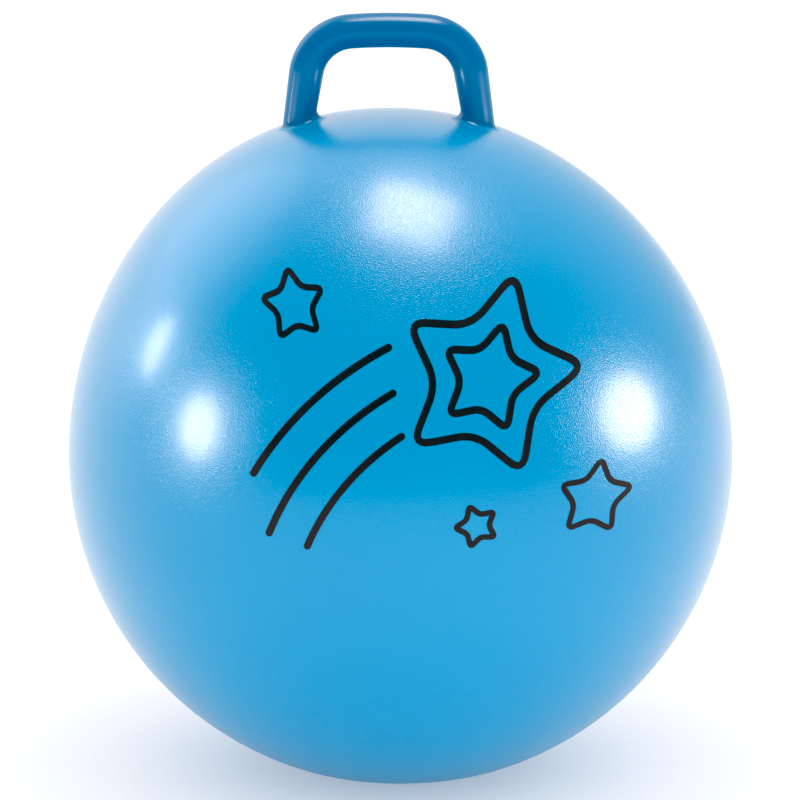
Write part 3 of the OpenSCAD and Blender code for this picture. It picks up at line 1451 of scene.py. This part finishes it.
@dataclass
class Studio:
    """A white floor, soft lights, bright surroundings behind the ball, and the camera.

    Attributes:
        form: Sizes of the ball in its middle.
        floor_r: Radius of the floor.
        floor_sides: Sides of the floor.
        floor_white: Colour of the floor.
        floor_glow: Light that the floor gives of itself.
        shade_r: Distances from the ball's foot over which the floor's shade in reflections ends.
        shade: Strength of that shade.
        tent_light: Light that the tent gives on every side.
        tent_lean: Direction in which the tent grows brighter, and by how much.
        back_from: Depths, from -1 in front to 1 behind, where the mirrored tent starts and is full.
        back_glow: Brightness of the mirrored tent.
        back_lean: How much brighter the mirrored tent is on the right. It is negative: dimmer there.
        camera_tilt: Angle of the camera above the level of the ball's middle.
        camera_distance: Its distance from the ball's middle.
        picture_px: Width and height of the picture.
        focal_px: Focal length, in pixels of the picture.
        middle_px: Pixel that the ball's middle lands on.
        red_cut: Red that comes out as none.
        red_full: Red that comes out as full.
    """

    form: BallForm
    floor_r: float = 30.0
    floor_sides: int = 96
    floor_white: Colour = (0.66, 0.68, 0.68)
    floor_glow: float = 0.35
    shade_r: Span = (0.12, 0.42)
    shade: float = 0.5
    tent_light: float = 0.94
    tent_lean: Vector = Vector((0.15, 0.06, 0.45))
    back_from: Span = (-0.3, 0.5)
    back_glow: float = 1.0
    back_lean: float = -0.5
    camera_tilt: float = math.radians(13.5)
    camera_distance: float = 3.0
    picture_px: float = 800
    focal_px: float = 4411.9
    middle_px: tuple[float, float] = (400.68, 452.57)
    red_cut: float = 0.068
    red_full: float = 0.95

    def floor(self) -> None:
        """Adds the floor, which glows a little and is mirrored darker close to the ball."""
        clear_selection()
        bpy.ops.mesh.primitive_circle_add(vertices=self.floor_sides, radius=self.floor_r, fill_type="NGON")
        floor = bpy.context.object
        floor.name = "floor"
        material = bpy.data.materials.new("floor_white")
        material.use_nodes = True
        shader = material.node_tree.nodes["Principled BSDF"]
        shader.inputs["Base Color"].default_value = (*self.floor_white, 1)
        shader.inputs["Specular IOR Level"].default_value = 0
        shader.inputs["Emission Color"].default_value = (*WHITE, 1)
        recipe = Recipe(material.node_tree)
        from_ball = recipe.add("VectorMath", operation="LENGTH")
        recipe.link(recipe.place(), from_ball.inputs[0])
        shade = recipe.ramp(from_ball.outputs["Value"], *self.shade_r, self.shade, 0)
        mirrored = recipe.math("MULTIPLY", shade, recipe.add("LightPath").outputs["Is Glossy Ray"])
        lit = recipe.math("SUBTRACT", 1, mirrored)
        recipe.link(recipe.math("MULTIPLY", lit, self.floor_glow), shader.inputs["Emission Strength"])
        material.cycles.emission_sampling = "NONE"
        wear(floor, material)

    def softboxes(self) -> Iterator[Softbox]:
        """Lists the soft lights.

        Yields:
            The light overhead, those close by on the right and on the left, and a glow far behind.
        """
        yield Softbox("top_box", way=Vector((0.086, -0.02, 0.996)), distance=1.6, size=(0.64, 0.58),
                      radiance=10.5, outline=Outline.RECTANGLE)
        yield Softbox("right_box", way=Vector((0.911, -0.332, 0.246)), distance=0.496,
                      size=(0.190, 0.152), radiance=13.5)
        yield Softbox("left_box", way=Vector((-0.832, -0.510, 0.220)), distance=0.503,
                      size=(0.112, 0.126), radiance=18.5)
        yield Softbox("left_strip", way=Vector((-0.914, -0.097, 0.395)), distance=0.485,
                      size=(0.062, 0.114), radiance=13)
        yield Softbox("left_glow", way=Vector((-0.648, 0.375, 0.661)), distance=1.6, size=(1.2, 1.2),
                      radiance=0.8, tint=WHITE)

    def surroundings(self) -> None:
        """Makes a white tent that lights evenly, and is mirrored dark in front and bright behind."""
        world = bpy.data.worlds.new("studio")
        bpy.context.scene.world = world
        world.use_nodes = True
        world.cycles.sampling_method = "NONE"
        world.node_tree.nodes.clear()
        recipe = Recipe(world.node_tree)
        rays = recipe.add("LightPath")
        way = recipe.add("TexCoord").outputs["Generated"]
        axes = recipe.add("SeparateXYZ")
        recipe.link(way, axes.inputs[0])
        behind = recipe.ramp(axes.outputs["Y"], *self.back_from, 0, 1)
        leftward = recipe.math("MULTIPLY", axes.outputs["X"], self.back_lean)
        back = recipe.math("MULTIPLY", behind, recipe.math("ADD", leftward, self.back_glow))
        mirrored = recipe.math("MULTIPLY", back, rays.outputs["Is Glossy Ray"])
        lean = recipe.add("VectorMath", operation="DOT_PRODUCT")
        recipe.link(way, lean.inputs[0])
        lean.inputs[1].default_value = self.tent_lean
        tent_glow = recipe.math("ADD", lean.outputs["Value"], self.tent_light)
        scattered = recipe.math("MULTIPLY", rays.outputs["Is Diffuse Ray"], tent_glow)
        seen = recipe.math("ADD", rays.outputs["Is Camera Ray"], scattered)
        tent = recipe.add("Background")
        tent.inputs["Color"].default_value = (*WHITE, 1)
        recipe.link(recipe.math("ADD", seen, mirrored), tent.inputs["Strength"])
        recipe.link(tent.outputs[0], recipe.add("OutputWorld").inputs["Surface"])

    def camera(self) -> None:
        """Puts the camera where the photograph's outline says, with the ball on its pixels."""
        back = Vector((0, -math.cos(self.camera_tilt), math.sin(self.camera_tilt)))
        up = X_AXIS.cross(-back)
        metres_per_px = self.camera_distance / self.focal_px
        aside_px, down_px = (at - self.picture_px / 2 for at in self.middle_px)
        aim = self.form.middle + metres_per_px * (down_px * up - aside_px * X_AXIS)
        place = self.form.middle + self.camera_distance * back
        bpy.ops.object.camera_add(location=place)
        camera = bpy.context.object
        camera.rotation_euler = (aim - place).to_track_quat("-Z", "Y").to_euler()
        camera.data.lens = self.focal_px / self.picture_px * camera.data.sensor_width
        bpy.context.scene.camera = camera

    def grade(self) -> None:
        """Cuts the faintest reds off, as a camera does where a blue is too strong for its range."""
        view = bpy.context.scene.view_settings
        view.view_transform = "Standard"
        view.use_curve_mapping = True
        red = view.curve_mapping.curves[0]
        red.points[0].location = (self.red_cut, 0)
        red.points[1].location = (self.red_full, 1)
        view.curve_mapping.update()

    def build(self) -> None:
        """Sets the whole studio up."""
        self.floor()
        for box in self.softboxes():
            box.hang(self.form.middle)
        self.surroundings()
        self.camera()
        self.grade()


# Putting it together

SKY_BLUE = SeamedMoulding(
    name="pearl_vinyl", pale=(0.0, 0.298, 0.635), deep=(0.0, 0.282, 0.61), gloss=(0.28, 0.32),
    grain_size=0.85 * MM, grain_depth=0.29 * MM, drift_size=160 * MM,
    ior=1.6, coat=0.8, coat_roughness=0.23, seam_w=2 * MM,
)
SEAT_BLUE = Moulding(
    name="moulded_seat", pale=(0.0, 0.25, 0.58), deep=(0.0, 0.22, 0.52), gloss=(0.32, 0.38),
    grain_size=0.6 * MM, grain_depth=0.01 * MM, drift_size=12 * MM,
)
PLUG_WHITE = Moulding(
    name="moulded_plug", pale=(0.84, 0.84, 0.81), deep=(0.78, 0.78, 0.74), gloss=(0.34, 0.44),
    grain_size=0.4 * MM, grain_depth=0.01 * MM, drift_size=6 * MM,
)
PRINT_BLACK = Moulding(
    name="print_ink", pale=(0.072, 0.003, 0.006), deep=(0.068, 0.002, 0.005), gloss=(0.30, 0.36),
    grain_size=1.3 * MM, grain_depth=0.02 * MM, drift_size=20 * MM, ior=1.33,
)


def handle_blue(form: BallForm) -> FadingMoulding:
    """Works out the handle's finish, which thins into the skin's at its feet.

    Args:
        form: The ball that it stands on.

    Returns:
        The finish.
    """
    return FadingMoulding(
        name="glossy_vinyl", pale=(0.0, 0.132, 0.365), deep=(0.0, 0.120, 0.34), gloss=(0.34, 0.40),
        grain_size=9 * MM, grain_depth=0.04 * MM, drift_size=40 * MM,
        ior=1.45, coat=0.35, coat_roughness=0.14,
        seat_middle=form.cap_middle, seat_r=form.cap_r, fade=(0, 1.6 * MM), seat_pigment=SKY_BLUE.deep,
    )


def main() -> None:
    """Builds and dresses the pieces in order, logging each one's face count, then builds the studio."""
    logging.basicConfig(level=logging.INFO, format="%(name)s: %(message)s")
    form = BallForm()
    skin = Skin(form=form, finish=SKY_BLUE)
    parts = (
        skin,
        Handle(form=form, finish=handle_blue(form)),
        ValveSeat(form=form, finish=SEAT_BLUE),
        ValvePlug(form=form, finish=PLUG_WHITE),
        LinePrint(skin=skin, finish=PRINT_BLACK),
    )
    for part in parts:
        part.build()
        part.dress()
        LOG.info("%s: %d faces", part.piece.name, len(part.piece.data.polygons))
    Studio(form).build()


if __name__ == "__main__":
    main()
